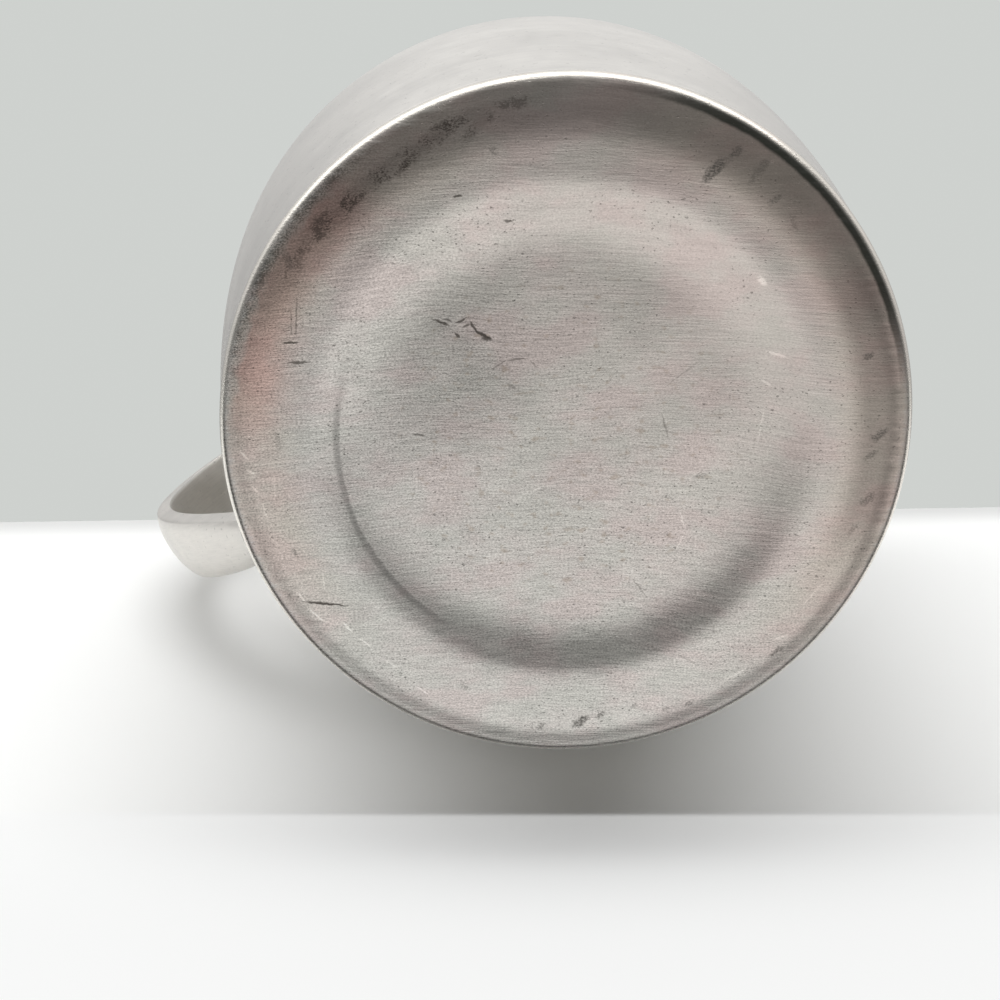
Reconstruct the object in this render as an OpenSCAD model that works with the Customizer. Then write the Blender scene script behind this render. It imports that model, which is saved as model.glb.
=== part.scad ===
// Small pewter pitcher: a spun body on a recessed base, with a bead, a beak spout and an ear handle.
// It stands upright on the plane z = 0, with its axis on Z, the spout towards +X and the handle towards -X.
// All lengths are in millimetres.

/* [Body] */
// Outside diameter of the foot
foot_d = 55; // [50:0.5:60]
// Outside diameter of the belly at its widest
belly_d = 78.6; // [74:0.2:86]
// Height of the widest place of the belly
belly_z = 60; // [54:1:66]
// Outside diameter of the mouth, under the bead
mouth_d = 60.4; // [54:0.2:68]
// Height of the mouth
body_h = 99; // [94:1:108]
// Radius of the arc under the belly
belly_low_r = 88; // [60:1:92]
// Radius of the long arc of the lower wall, which runs from the foot into the arc under the belly
flare_r = 525; // [300:5:1000]
// Thickness of the spun wall
wall = 1.2; // [0.8:0.1:1.8]

/* [Base] */
// Thickness of the base
base_t = 1.6; // [1.2:0.1:2]
// Width of the foot outside the flat ring that the pitcher stands on
edge_band = 3.9; // [3.4:0.1:5]
// Width of the flat ring
ring_w = 4.4; // [3:0.1:6]
// Width of the hollow wall between the flat ring and the middle of the recess
hollow_w = 5.2; // [4:0.1:8]
// Depth of the recess at the rim of its middle
recess_h = 1.4; // [0.6:0.1:2.2]
// How far the middle of the recess bows down again
disc_crown = 0.2; // [0.1:0.05:0.5]
// Radius of the foot's outer edge
edge_r = 1.2; // [0.8:0.1:1.3]
// Radius of the soft shoulder outside the flat ring
shoulder_r = 6; // [3:0.5:7]
// Slope of the bevel between the shoulder and the edge, in degrees
bevel_angle = 18; // [10:1:20]
// Height of the plumb lip over the rounded edge, up to the seam with the body
lip_h = 0.8; // [0.6:0.1:2]

/* [Mouth] */
// Height of the half-round bead round the mouth
bead_w = 2; // [1.4:0.1:2.6]

/* [Spout] */
// Width of the spout at the mouth
spout_w = 25; // [20:0.5:29]
// Height of the spout, from its toe to the mouth
spout_h = 38; // [32:1:42]
// How far the spout's nose stands out from the wall at the mouth
spout_out = 14.5; // [11:0.5:16]
// How far the tip rises above the mouth
spout_rise = 3.6; // [2:0.2:5]
// Thickness of the spout's sheet
spout_t = 1.2; // [1:0.1:1.5]
// Width of the spout at its toe
toe_w = 4; // [3.4:0.1:5]
// How far the toe stands out from the wall
toe_out = 1.4; // [1:0.1:2]
// Margin of wall left under the spout's edges, beside the pouring notch
notch_margin = 0.9; // [0.6:0.1:1.4]

/* [Handle] */
// Distance from the pitcher's axis to the handle's outer face
handle_reach = 63; // [57:0.5:68]
// Width of the strap at its top
handle_w = 11.4; // [9:0.2:12.6]
// Width of the strap at its foot
handle_low_w = 5.6; // [4.6:0.2:8]
// Thickness of the strap at its top
handle_t = 3.6; // [2.8:0.1:4.4]
// Thickness of the strap at its foot
handle_low_t = 3; // [2.2:0.1:3.6]
// Wall left between the bead and the solder of the upper joint
handle_drop = 1.6; // [0.6:0.2:5]
// Height between the two joints
handle_h = 61; // [52:1:66]
// Height between the upper joint and the place where the handle stands out furthest
handle_fall = 19; // [15:1:24]

/* [Solder] */
// Thickness of the solder under the handle's upper end
solder_top_t = 1.2; // [0.9:0.1:2]
// Thickness of the solder under the handle's lower end
solder_low_t = 2.4; // [2.2:0.1:3]
// How far the solder runs out past the handle's end
solder_lap = 1.3; // [0.8:0.1:1.8]
// Leg of the solder along the spout's edges
seam_leg = 0.9; // [0.6:0.1:1.2]
// Leg of the solder inside the foot
foot_leg = 2; // [1.2:0.1:2.4]

/* [Hidden] */

// Clearance between a formed piece and the wall that it seats on
seat = 0.05;
// Overrun of a cut past the face that it leaves
over = 2;
// Gap between an end of the bead and the spout
bead_gap = 0.2;
$fn = 128;

// Facets of the arcs of the revolved outlines
flare_steps = 8;
low_steps = 8;
top_steps = 14;
arc_steps = 6;
// Facets of the lofted pieces
spout_steps = 16;
spout_levels = 16;
handle_steps = 20;

// Roundness of the spout's nose, as a share of its half width
nose_share = 0.22;
// Powers by which the spout widens and stands out towards the mouth
width_power = 0.85;
out_power = 1.5;
rise_power = 1.3;
// Pull of the handle's curve at its joints and at its widest place, as shares of the spans between them
top_pull_share = [0.68, 0.1];
mid_pull_share = [0.82, 0.4];
low_pull_share = [0.36, 0.34];
// Half of the strap's outline, as shares of its width and thickness: flat inside, crowned outside
strap_share = [[0, -0.5], [0.45, -0.5], [0.5, -0.38], [0.5, 0.1], [0.46, 0.22], [0.34, 0.37], [0.18, 0.47]];
// How much the strap spreads at its upper end, and how soon it spreads and tapers along its length
spread_share = 0.16;
spread_power = 12;
taper_power = 3;
// Rings over the back of a solder pad, as shares of its outline
pad_share = [1, 0.66, 0.33];
// Waist of a solder pad: its lap as a share of the pad's, and its place on the way from the strap to the wall
waist_share = [0.25, 0.5];
// Sag of the foot's solder: along its face, and from there towards the corner
sag_share = [0.5, 0.4];

foot_r = foot_d / 2;
belly_r = belly_d / 2;
mouth_r = mouth_d / 2;
stand_r = foot_r - edge_band;
crease_r = stand_r - ring_w;
disc_r = crease_r - hollow_w;

// Underside of the base outside the flat ring: the bevel's start and end, and the height of the edge's centre
bevel_p = [stand_r + shoulder_r * sin(bevel_angle), shoulder_r * (1 - cos(bevel_angle))];
edge_x = foot_r - edge_r + edge_r * sin(bevel_angle);
bevel_q = [edge_x, bevel_p[1] + (edge_x - bevel_p[0]) * tan(bevel_angle)];
edge_z = bevel_q[1] + edge_r * cos(bevel_angle);
foot_p = [foot_r, edge_z + lip_h];

// The arcs over and under the belly are plumb at the belly
belly_in = belly_r - mouth_r;
top_h = body_h - belly_z;
top_arc_r = (belly_in * belly_in + top_h * top_h) / (2 * belly_in);
top_c = [belly_r - top_arc_r, belly_z];
low_c = [belly_r - belly_low_r, belly_z];
// The lower wall is a flatter arc through the foot that runs into the arc under the belly with no kink
foot_v = foot_p - low_c;
flare_in = flare_r - belly_low_r;
flare_along = (flare_in * flare_in - flare_r * flare_r + foot_v * foot_v) / (2 * norm(foot_v));
flare_across = sqrt(flare_in * flare_in - flare_along * flare_along);
foot_u = foot_v / norm(foot_v);
flare_c = low_c + flare_along * foot_u + flare_across * [foot_u[1], -foot_u[0]];
join_u = (low_c - flare_c) / norm(low_c - flare_c);

// Points of an arc about c from angle a to angle b
function arc(c, r, a, b, steps) =
    [for (i = [0 : steps]) let (t = a + (b - a) * i / steps) c + r * [cos(t), sin(t)]];
function rest(list) = [for (i = [1 : len(list) - 1]) list[i]];
function flip(list) = [for (i = [len(list) - 1 : -1 : 0]) list[i]];
function mix(p, q, t) = p + (q - p) * t;

// Side of the body from the foot's seam to the mouth, drawn in by a distance square to the wall
function side(inset) =
    let (a = asin((foot_p[1] - flare_c[1]) / (flare_r - inset)),
         b = atan2(join_u[1], join_u[0]),
         c = asin(top_h / (top_arc_r - inset)))
    concat(arc(flare_c, flare_r - inset, a, b, flare_steps),
           rest(arc(low_c, belly_low_r - inset, b, 0, low_steps)),
           rest(arc(top_c, top_arc_r - inset, 0, c, top_steps)));

// Point of the body's faceted side at a height
function on_side(inset, z) = [lookup(z, [for (p = side(inset)) [p[1], p[0]]]), z];

// Outside radius of the body at a height
join_z = belly_z + belly_low_r * join_u[1];
function on_arc(c, r, z) = c[0] + sqrt(r * r - pow(z - c[1], 2));
function body_r(z) = z < join_z ? on_arc(flare_c, flare_r, z)
    : z < belly_z ? on_arc(low_c, belly_low_r, z)
    : on_arc(top_c, top_arc_r, z);

// Underside of the base, from the middle out to the foot's edge
crown_r = (disc_r * disc_r + disc_crown * disc_crown) / (2 * disc_crown);
hollow_r = (hollow_w * hollow_w + recess_h * recess_h) / (2 * recess_h);
underside = concat(
    arc([0, recess_h - disc_crown + crown_r], crown_r, -90, -90 + asin(disc_r / crown_r), arc_steps),
    rest(arc([disc_r, recess_h - hollow_r], hollow_r, 90, 90 - asin(hollow_w / hollow_r), arc_steps)),
    arc([stand_r, shoulder_r], shoulder_r, -90, bevel_angle - 90, arc_steps));
edge_arc = arc([foot_r - edge_r, edge_z], edge_r, bevel_angle - 90, 0, arc_steps);
inner_foot = side(wall)[0];
// The base's upper face lies over its underside and ends at the wall
function floor_top(x) = [x, lookup(x, concat(underside, [bevel_q])) + base_t];
topside = concat([for (p = underside) if (p[0] < inner_foot[0]) p + [0, base_t]], [floor_top(inner_foot[0])]);

// Half round between two points, bulging to the right of the way from p to q
function half_round(p, q) =
    let (c = (p + q) / 2, d = p - c, a = atan2(d[1], d[0]))
    arc(c, norm(d), a, a + 180, arc_steps * 2);

// Spout: height of its toe, and the share of the way from there to the mouth
toe_z = body_h - spout_h;
function lift(z) = (z - toe_z) / spout_h;
function half_w(z) = toe_w / 2 + (spout_w - toe_w) / 2 * pow(lift(z), width_power);
function stand_out(z) = toe_out + (spout_out - toe_out) * pow(lift(z), out_power);
// How far a place across the spout lies towards the nose, 1 on the nose and 0 at the edges
function nose(u) =
    1 - (sqrt(u * u + nose_share * nose_share) - nose_share) / (sqrt(1 + nose_share * nose_share) - nose_share);
function wall_x(z, y) = sqrt(pow(body_r(z) + seat, 2) - y * y);
// The spout's sheet is thickest measured along X on its slanted flanks
function sheet_x(z) = spout_t * norm([half_w(z), stand_out(z)]) / half_w(z);
function spout_point(u, v, inside) =
    let (z = toe_z + (spout_h + spout_rise * pow(nose(u), rise_power)) * v,
         w = half_w(z) - (inside ? spout_t : 0),
         x = wall_x(z, w),
         tip = body_r(z) + stand_out(z) - (inside ? sheet_x(z) : 0))
    [x + max(tip - x, seat) * nose(u), w * u, z];
function spout_grid(inside) =
    [for (j = [0 : spout_levels]) [for (i = [0 : spout_steps]) spout_point(2 * i / spout_steps - 1, j / spout_levels, inside)]];

// Handle: a smooth curve in the plane y = 0, as distance from the axis and height
pad_half = handle_t * (1 + spread_share) / 2 + solder_lap;
handle_top_z = body_h - bead_w - handle_drop - pad_half;
handle_low_z = handle_top_z - handle_h;
handle_s = [body_r(handle_top_z) + solder_top_t, handle_top_z];
handle_m = [handle_reach - handle_t / 2, handle_top_z - handle_fall];
handle_e = [body_r(handle_low_z) + solder_low_t, handle_low_z];
top_span = handle_m[0] - handle_s[0];
low_span = handle_m[0] - handle_e[0];
upper = [handle_s, handle_s + top_span * top_pull_share,
         handle_m + [0, (handle_s[1] - handle_m[1]) * mid_pull_share[0]], handle_m];
lower = [handle_m, handle_m - [0, (handle_m[1] - handle_e[1]) * mid_pull_share[1]],
         handle_e + low_span * low_pull_share, handle_e];
function curve(p, t) = pow(1 - t, 3) * p[0] + 3 * t * pow(1 - t, 2) * p[1] + 3 * t * t * (1 - t) * p[2] + pow(t, 3) * p[3];
function heading(p, t) =
    let (d = pow(1 - t, 2) * (p[1] - p[0]) + 2 * t * (1 - t) * (p[2] - p[1]) + t * t * (p[3] - p[2]))
    d / norm(d);
// One outline of the strap at place t, from 0 at the upper joint over 1 to 2 at the lower joint
strap_half = len(strap_share);
strap_outline =
    concat(strap_share, [[0, 0.5]], [for (i = [strap_half - 1 : -1 : 1]) [-strap_share[i][0], strap_share[i][1]]]);
function strap_ring(t, lap) =
    let (p = t <= 1 ? upper : lower,
         s = t <= 1 ? t : t - 1,
         c = curve(p, s),
         d = heading(p, s),
         n = [-d[1], d[0]],
         spread = 1 + spread_share * pow(1 - t / 2, spread_power),
         w = mix(handle_w, handle_low_w, pow(t / 2, taper_power)) * spread + 2 * lap,
         h = mix(handle_t, handle_low_t, t / 2) * spread + 2 * lap)
    [for (q = strap_outline) let (e = c + n * q[1] * h) [-e[0], q[0] * w, e[1]]];

// Solder pad under an end of the handle: rings from the handle's end out onto the wall
function on_wall(p) = [-wall_x(p[2], p[1]), p[1], p[2]];
function pad_ring(t, share) =
    let (c = on_wall([0, 0, curve(t <= 1 ? upper : lower, t <= 1 ? t : t - 1)[1]]))
    [for (p = strap_ring(t, solder_lap)) on_wall(mix(c, p, share))];
function waist_ring(t) =
    let (a = strap_ring(t, solder_lap * waist_share[0]), b = pad_ring(t, 1))
    [for (i = [0 : len(a) - 1]) mix(a[i], b[i], waist_share[1])];

// Joins equal rings of points into one closed skin, with a fan over each end
module skin(rings, first, last) {
    n = len(rings[0]);
    m = len(rings);
    points = concat([for (r = rings) for (p = r) p], [first, last]);
    sides = [for (j = [0 : m - 2]) for (i = [0 : n - 1])
        let (k = (i + 1) % n)
        for (f = [[j * n + i, j * n + k, (j + 1) * n + k], [j * n + i, (j + 1) * n + k, (j + 1) * n + i]]) f];
    starts = [for (i = [0 : n - 1]) [n * m, (i + 1) % n, i]];
    ends = [for (i = [0 : n - 1]) [n * m + 1, (m - 1) * n + i, (m - 1) * n + (i + 1) % n]];
    polyhedron(points = points, faces = concat(sides, starts, ends), convexity = 6);
}

// Joins an outer and an inner grid of points into one closed sheet
module sheet(outer, inner) {
    n = len(outer[0]);
    m = len(outer);
    points = concat([for (r = outer) for (p = r) p], [for (r = inner) for (p = r) p]);
    function at(j, i, k) = k * n * m + j * n + i;
    function pair(a, b, c, d) = [[a, b, c], [a, c, d]];
    faces = concat(
        [for (j = [0 : m - 2]) for (i = [0 : n - 2])
            for (f = pair(at(j, i, 0), at(j + 1, i, 0), at(j + 1, i + 1, 0), at(j, i + 1, 0))) f],
        [for (j = [0 : m - 2]) for (i = [0 : n - 2])
            for (f = pair(at(j, i, 1), at(j, i + 1, 1), at(j + 1, i + 1, 1), at(j + 1, i, 1))) f],
        [for (i = [0 : n - 2])
            for (f = pair(at(0, i, 0), at(0, i + 1, 0), at(0, i + 1, 1), at(0, i, 1))) f],
        [for (i = [0 : n - 2])
            for (f = pair(at(m - 1, i + 1, 0), at(m - 1, i, 0), at(m - 1, i, 1), at(m - 1, i + 1, 1))) f],
        [for (j = [0 : m - 2])
            for (f = pair(at(j + 1, 0, 0), at(j, 0, 0), at(j, 0, 1), at(j + 1, 0, 1))) f],
        [for (j = [0 : m - 2])
            for (f = pair(at(j, n - 1, 0), at(j + 1, n - 1, 0), at(j + 1, n - 1, 1), at(j, n - 1, 1))) f]);
    polyhedron(points = points, faces = faces, convexity = 6);
}

// Spun wall, open at the foot and at the mouth, with a notch under the spout
module body() {
    notch_w = half_w(body_h) - spout_t - notch_margin;
    notch_z = toe_z + toe_w;
    color([0.72, 0.70, 0.67])
        difference() {
            rotate_extrude()
                polygon(concat(side(0), flip(side(wall))));
            translate([0, 0, body_h + over])
                rotate([90, 0, 90])
                    linear_extrude(height = belly_d)
                        polygon([[-notch_w, 0], [-notch_w, -over], [0, notch_z - body_h - over], [notch_w, -over], [notch_w, 0]]);
        }
}

// Dished plate that closes the foot: recess, stand ring, bevel and rounded edge
module base() {
    color([0.70, 0.67, 0.64])
        rotate_extrude()
            polygon(concat(underside, edge_arc, [foot_p, inner_foot], flip(topside)));
}

// Half-round wire on the outside of the mouth, from one side of the spout to the other
module mouth_bead() {
    color([0.74, 0.72, 0.69])
        difference() {
            rotate_extrude()
                polygon(half_round(on_side(0, body_h - bead_w), on_side(0, body_h)));
            translate([0, -spout_w / 2 - bead_gap, body_h - spout_h])
                cube([belly_d, spout_w + 2 * bead_gap, 2 * spout_h]);
        }
}

// Beak spout: a sheet folded to a rounded nose that runs down to a small toe
module spout() {
    color([0.73, 0.71, 0.68])
        sheet(spout_grid(false), spout_grid(true));
}

// Cast ear handle: a strap, flat inside and crowned outside, spread at its joints
module handle() {
    rings = [for (i = [0 : 2 * handle_steps]) strap_ring(i / handle_steps, 0)];
    first = [-handle_s[0], 0, handle_s[1]];
    last = [-handle_e[0], 0, handle_e[1]];
    color([0.71, 0.69, 0.66])
        skin(rings, first, last);
}

// Ring of solder in the corner between the base and the wall
module foot_solder() {
    high = on_side(wall, inner_foot[1] + foot_leg);
    low = floor_top(inner_foot[0] - foot_leg);
    corner = floor_top(inner_foot[0]);
    color([0.60, 0.60, 0.58])
        rotate_extrude()
            polygon([low, corner, inner_foot, high, mix(mix(low, high, sag_share[0]), corner, sag_share[1])]);
}

// Fillet of solder down one edge of the spout, under its toe and up the other edge
module spout_solder() {
    step = 2 / spout_steps;
    // Three points of the fillet: in the corner, out on the wall and up on the sheet
    function edge_ring(v, s) =
        let (p = spout_point(s, v, false), q = spout_point(s * (1 - step), v, false), y = p[1] + s * seam_leg)
        [p, [wall_x(p[2], y), y, p[2]], mix(p, q, min(1, seam_leg / norm(q - p)))];
    function toe_ring(u) =
        let (q = spout_point(u, 0, false))
        [[wall_x(toe_z, q[1]), q[1], toe_z], [wall_x(toe_z - seam_leg, q[1]), q[1], toe_z - seam_leg], q];
    rings = concat(
        [for (j = [spout_levels : -1 : 0]) edge_ring(j / spout_levels, 1)],
        [for (i = [1 : spout_steps - 1]) toe_ring(1 - i * step)],
        [for (j = [0 : spout_levels]) edge_ring(j / spout_levels, -1)]);
    first = rings[0];
    last = rings[len(rings) - 1];
    color([0.60, 0.60, 0.58])
        skin(rings, (first[0] + first[1] + first[2]) / 3, (last[0] + last[1] + last[2]) / 3);
}

// Solder between an end of the handle and the wall, running out in a small fillet
module handle_solder(t) {
    end = curve(t <= 1 ? upper : lower, t <= 1 ? t : t - 1);
    rings = concat([strap_ring(t, 0), waist_ring(t)], [for (s = pad_share) pad_ring(t, s)]);
    first = [-end[0], 0, end[1]];
    last = on_wall(first);
    color([0.60, 0.60, 0.58])
        skin(rings, first, last);
}
module handle_solder_upper() { handle_solder(0); }
module handle_solder_lower() { handle_solder(2); }

body();
base();
mouth_bead();
spout();
handle();
foot_solder();
spout_solder();
handle_solder_upper();
handle_solder_lower();
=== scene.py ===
"""Small pewter pitcher, dressed for the picture in which it lies on its side with its base to the camera.

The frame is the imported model's: metres, axis on Z, spout towards +X, handle towards -X. Sizes below are in
millimetres and repeat those of the construction.
"""
from math import asin, atan2, cos, hypot, pi, radians, sin, sqrt, tan

import bmesh
import bpy
from mathutils import Matrix, Vector


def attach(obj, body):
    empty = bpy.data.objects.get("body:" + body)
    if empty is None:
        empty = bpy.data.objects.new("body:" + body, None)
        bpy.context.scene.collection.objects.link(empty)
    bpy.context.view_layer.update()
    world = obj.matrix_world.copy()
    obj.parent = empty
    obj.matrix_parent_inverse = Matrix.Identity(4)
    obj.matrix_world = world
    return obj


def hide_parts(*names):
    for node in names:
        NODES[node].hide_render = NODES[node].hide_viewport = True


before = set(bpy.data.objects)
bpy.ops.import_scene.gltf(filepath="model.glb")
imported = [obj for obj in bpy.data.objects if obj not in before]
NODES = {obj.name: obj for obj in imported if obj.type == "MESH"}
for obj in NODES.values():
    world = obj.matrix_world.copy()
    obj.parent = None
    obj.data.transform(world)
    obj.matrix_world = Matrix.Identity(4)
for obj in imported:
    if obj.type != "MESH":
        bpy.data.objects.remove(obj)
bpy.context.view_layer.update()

MM = 0.001

# Body and base
FOOT_R, BELLY_R, MOUTH_R = 27.5, 39.3, 30.2
BELLY_Z, BODY_H = 60, 99
BELLY_LOW_R, FLARE_R, WALL = 88, 525, 1.2
BASE_T, EDGE_BAND, RING_W, HOLLOW_W = 1.6, 3.9, 4.4, 5.2
RECESS_H, DISC_CROWN, EDGE_R, SHOULDER_R, LIP_H = 1.4, 0.12, 1.2, 6, 0.8
BEVEL = radians(18)
HOLLOW_POWER = 2.6
BEAD_W, BEAD_GAP = 2, 0.2

# Spout
SPOUT_W, SPOUT_H, SPOUT_OUT, SPOUT_RISE, SPOUT_T = 25, 38, 14.5, 3.6, 1.2
TOE_W, TOE_OUT, NOTCH_MARGIN, NOSE = 4, 1.4, 0.9, 0.22
WIDTH_POWER, RISE_POWER, LIFT_POWER = 0.85, 1.3, 1.5

# Handle
HANDLE_REACH, HANDLE_W, HANDLE_LOW_W, HANDLE_T, HANDLE_LOW_T = 63, 11.4, 5.6, 3.6, 3
HANDLE_DROP, HANDLE_H, HANDLE_FALL = 1.6, 61, 19
SOLDER_TOP_T, SOLDER_LOW_T, SOLDER_LAP, SEAM_LEG = 1.2, 2.4, 1.3, 0.9
END_SPREAD = 1.16

# Looks only: rubbed edges, wear and the least gap between skins that touch
WALL_EDGE, SHEET_EDGE = 0.18, 0.25
WORN_REACH, WORN_TAPS = 1.5, 8
LONG_WAVE, SHORT_WAVE = 0.035, 0.018
MERGE, SKIN, SPOUT_GAP = 1e-4, 0.02, 0.05
UNDER_STEP, LIP_CHAMFER, INNER_GAP = 0.24, 0.08, 0.3
# Shares of the spout's seam at which its toe begins and ends, and the share between them
TOE_FROM, TOE_TO, TOE_SHARE = 0.44, 0.56, 0.12

# How the pitcher lies in the picture: the turn about its axis and the way that is up
TURN = radians(29)
RIGHT = Vector((cos(TURN), sin(TURN), 0))
UP = Vector((sin(TURN), -cos(TURN), 0))


# Lines of the walls

def arc(c, r, a, b, steps):
    """Points of an arc about c from angle a to angle b."""
    return [(c[0] + r * cos(a + (b - a) * i / steps), c[1] + r * sin(a + (b - a) * i / steps))
            for i in range(steps + 1)]


def mix(p, q, t):
    return tuple(a + (b - a) * t for a, b in zip(p, q))


STAND_R = FOOT_R - EDGE_BAND
CREASE_R = STAND_R - RING_W
DISC_R = CREASE_R - HOLLOW_W
BEVEL_P = (STAND_R + SHOULDER_R * sin(BEVEL), SHOULDER_R * (1 - cos(BEVEL)))
EDGE_X = FOOT_R - EDGE_R + EDGE_R * sin(BEVEL)
BEVEL_Q = (EDGE_X, BEVEL_P[1] + (EDGE_X - BEVEL_P[0]) * tan(BEVEL))
EDGE_Z = BEVEL_Q[1] + EDGE_R * cos(BEVEL)
SEAM_Z = EDGE_Z + LIP_H

BELLY_IN, TOP_H = BELLY_R - MOUTH_R, BODY_H - BELLY_Z
TOP_ARC_R = (BELLY_IN ** 2 + TOP_H ** 2) / (2 * BELLY_IN)
TOP_C = (BELLY_R - TOP_ARC_R, BELLY_Z)
LOW_C = (BELLY_R - BELLY_LOW_R, BELLY_Z)
FOOT_V = (FOOT_R - LOW_C[0], SEAM_Z - LOW_C[1])
FOOT_D = hypot(*FOOT_V)
FLARE_IN = FLARE_R - BELLY_LOW_R
ALONG = (FLARE_IN ** 2 - FLARE_R ** 2 + FOOT_D ** 2) / (2 * FOOT_D)
ACROSS = sqrt(FLARE_IN ** 2 - ALONG ** 2)
FOOT_U = (FOOT_V[0] / FOOT_D, FOOT_V[1] / FOOT_D)
FLARE_C = (LOW_C[0] + ALONG * FOOT_U[0] + ACROSS * FOOT_U[1],
           LOW_C[1] + ALONG * FOOT_U[1] - ACROSS * FOOT_U[0])
JOIN = atan2(LOW_C[1] - FLARE_C[1], LOW_C[0] - FLARE_C[0])


def side(inset=0, steps=30):
    """The wall's line from the seam with the base to the mouth."""
    return (arc(FLARE_C, FLARE_R - inset, asin((SEAM_Z - FLARE_C[1]) / (FLARE_R - inset)), JOIN, steps)
            + arc(LOW_C, BELLY_LOW_R - inset, JOIN, 0, steps)[1:]
            + arc(TOP_C, TOP_ARC_R - inset, 0, asin(TOP_H / (TOP_ARC_R - inset)), steps)[1:])


def body_r(z):
    """Outer radius of the body at a height."""
    if z < BELLY_Z + BELLY_LOW_R * sin(JOIN):
        c, r = FLARE_C, FLARE_R
    elif z < BELLY_Z:
        c, r = LOW_C, BELLY_LOW_R
    else:
        c, r = TOP_C, TOP_ARC_R
    return c[0] + sqrt(r * r - (z - c[1]) ** 2)


def wall_x(z, y):
    return sqrt(body_r(z) ** 2 - y * y)


# Making pieces

def finish_piece(mesh, name, node, crease=35):
    """Turns a bmesh in millimetres into a piece that stands for a node."""
    bmesh.ops.scale(mesh, vec=(MM, MM, MM), verts=mesh.verts)
    data = bpy.data.meshes.new(name)
    mesh.to_mesh(data)
    mesh.free()
    data.shade_smooth()
    data.set_sharp_from_angle(angle=radians(crease))
    piece = bpy.data.objects.new(name, data)
    bpy.context.scene.collection.objects.link(piece)
    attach(piece, "root")
    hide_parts(node)
    return piece


def spin(outline, steps=256, angle=2 * pi, start=0.0, closed=False):
    """Spins a line of (radius, height) points about the axis."""
    mesh = bmesh.new()
    verts = [mesh.verts.new((r * cos(start), r * sin(start), z)) for r, z in outline]
    edges = [mesh.edges.new(pair) for pair in zip(verts, verts[1:] + (verts[:1] if closed else []))
             if pair[0] is not pair[1]]
    full = abs(angle - 2 * pi) < 1e-6
    bmesh.ops.spin(mesh, geom=verts + edges, cent=(0, 0, 0), axis=(0, 0, 1), dvec=(0, 0, 0),
                   angle=angle, steps=steps, use_merge=full, use_duplicate=False)
    bmesh.ops.remove_doubles(mesh, verts=mesh.verts, dist=MERGE)
    if not full:
        rim = [e for e in mesh.edges if e.is_boundary]
        bmesh.ops.holes_fill(mesh, edges=rim, sides=0)
    bmesh.ops.recalc_face_normals(mesh, faces=mesh.faces)
    return mesh


def loft(across, along, place, tube=True):
    """Lays a grid onto place(u, v), with u across and v along from 0 to 1."""
    mesh = bmesh.new()
    bmesh.ops.create_grid(mesh, x_segments=across, y_segments=along, size=0.5)
    low = min(v.co.x for v in mesh.verts)
    span = max(v.co.x for v in mesh.verts) - low
    for vert in mesh.verts:
        vert.co = Vector(place((vert.co.x - low) / span, (vert.co.y - low) / span))
    if tube:
        bmesh.ops.remove_doubles(mesh, verts=mesh.verts, dist=MERGE)
        bmesh.ops.holes_fill(mesh, edges=[e for e in mesh.edges if e.is_boundary], sides=0)
        bmesh.ops.recalc_face_normals(mesh, faces=mesh.faces)
    return mesh


# Body: the wall's outer skin is spun and notched, and gets its thickness inwards
def spout_lift(z):
    """0 at the spout's toe and 1 at the mouth."""
    return max(0.0, (z - BODY_H + SPOUT_H) / SPOUT_H)


def half_w(z):
    return TOE_W / 2 + (SPOUT_W - TOE_W) / 2 * spout_lift(z) ** WIDTH_POWER


def make_body():
    mesh = spin(side(steps=30))
    notch_z = BODY_H - SPOUT_H + TOE_W
    notch_w = half_w(BODY_H) - SPOUT_T - NOTCH_MARGIN
    tip = Vector((0, 0, notch_z))
    normals = [Vector((0, s * (BODY_H - notch_z), -notch_w)).normalized() for s in (1, -1)]
    for normal in normals:
        near = [f for f in mesh.faces
                if f.calc_center_median().x > 0 and f.calc_center_median().z > notch_z - 4]
        geom = near + list({e for f in near for e in f.edges}) + list({v for f in near for v in f.verts})
        bmesh.ops.bisect_plane(mesh, geom=geom, plane_co=tip, plane_no=normal, dist=1e-5)
    gone = [f for f in mesh.faces if f.calc_center_median().x > 0
            and all((f.calc_center_median() - tip).dot(n) < 0 for n in normals)]
    bmesh.ops.delete(mesh, geom=gone, context="FACES")
    bmesh.ops.recalc_face_normals(mesh, faces=mesh.faces)
    top = max(mesh.faces, key=lambda f: f.calc_center_median().length)
    if top.normal.dot(Vector((top.calc_center_median().x, top.calc_center_median().y, 0))) < 0:
        bmesh.ops.reverse_faces(mesh, faces=mesh.faces)
    piece = finish_piece(mesh, "barrel_wall", "body", 40)
    wall = piece.modifiers.new("wall", "SOLIDIFY")
    wall.thickness, wall.offset, wall.use_even_offset, wall.use_rim = WALL * MM, -1, True, True
    edge = piece.modifiers.new("edge", "BEVEL")
    edge.width, edge.segments, edge.limit_method, edge.angle_limit = WALL_EDGE * MM, 2, "ANGLE", radians(50)
    edge.harden_normals = False
    return piece


def under_z(r):
    """Height of the base's under side by radius, with every corner sharp."""
    if r <= DISC_R:
        crown_r = (DISC_R ** 2 + DISC_CROWN ** 2) / (2 * DISC_CROWN)
        return RECESS_H - DISC_CROWN + crown_r - sqrt(crown_r ** 2 - r * r)
    if r <= CREASE_R:
        return RECESS_H * (1 - ((r - DISC_R) / HOLLOW_W) ** HOLLOW_POWER)
    if r <= STAND_R:
        return 0.0
    if r <= BEVEL_P[0]:
        return SHOULDER_R - sqrt(SHOULDER_R ** 2 - (r - STAND_R) ** 2)
    return BEVEL_P[1] + (r - BEVEL_P[0]) * tan(BEVEL)


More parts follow.
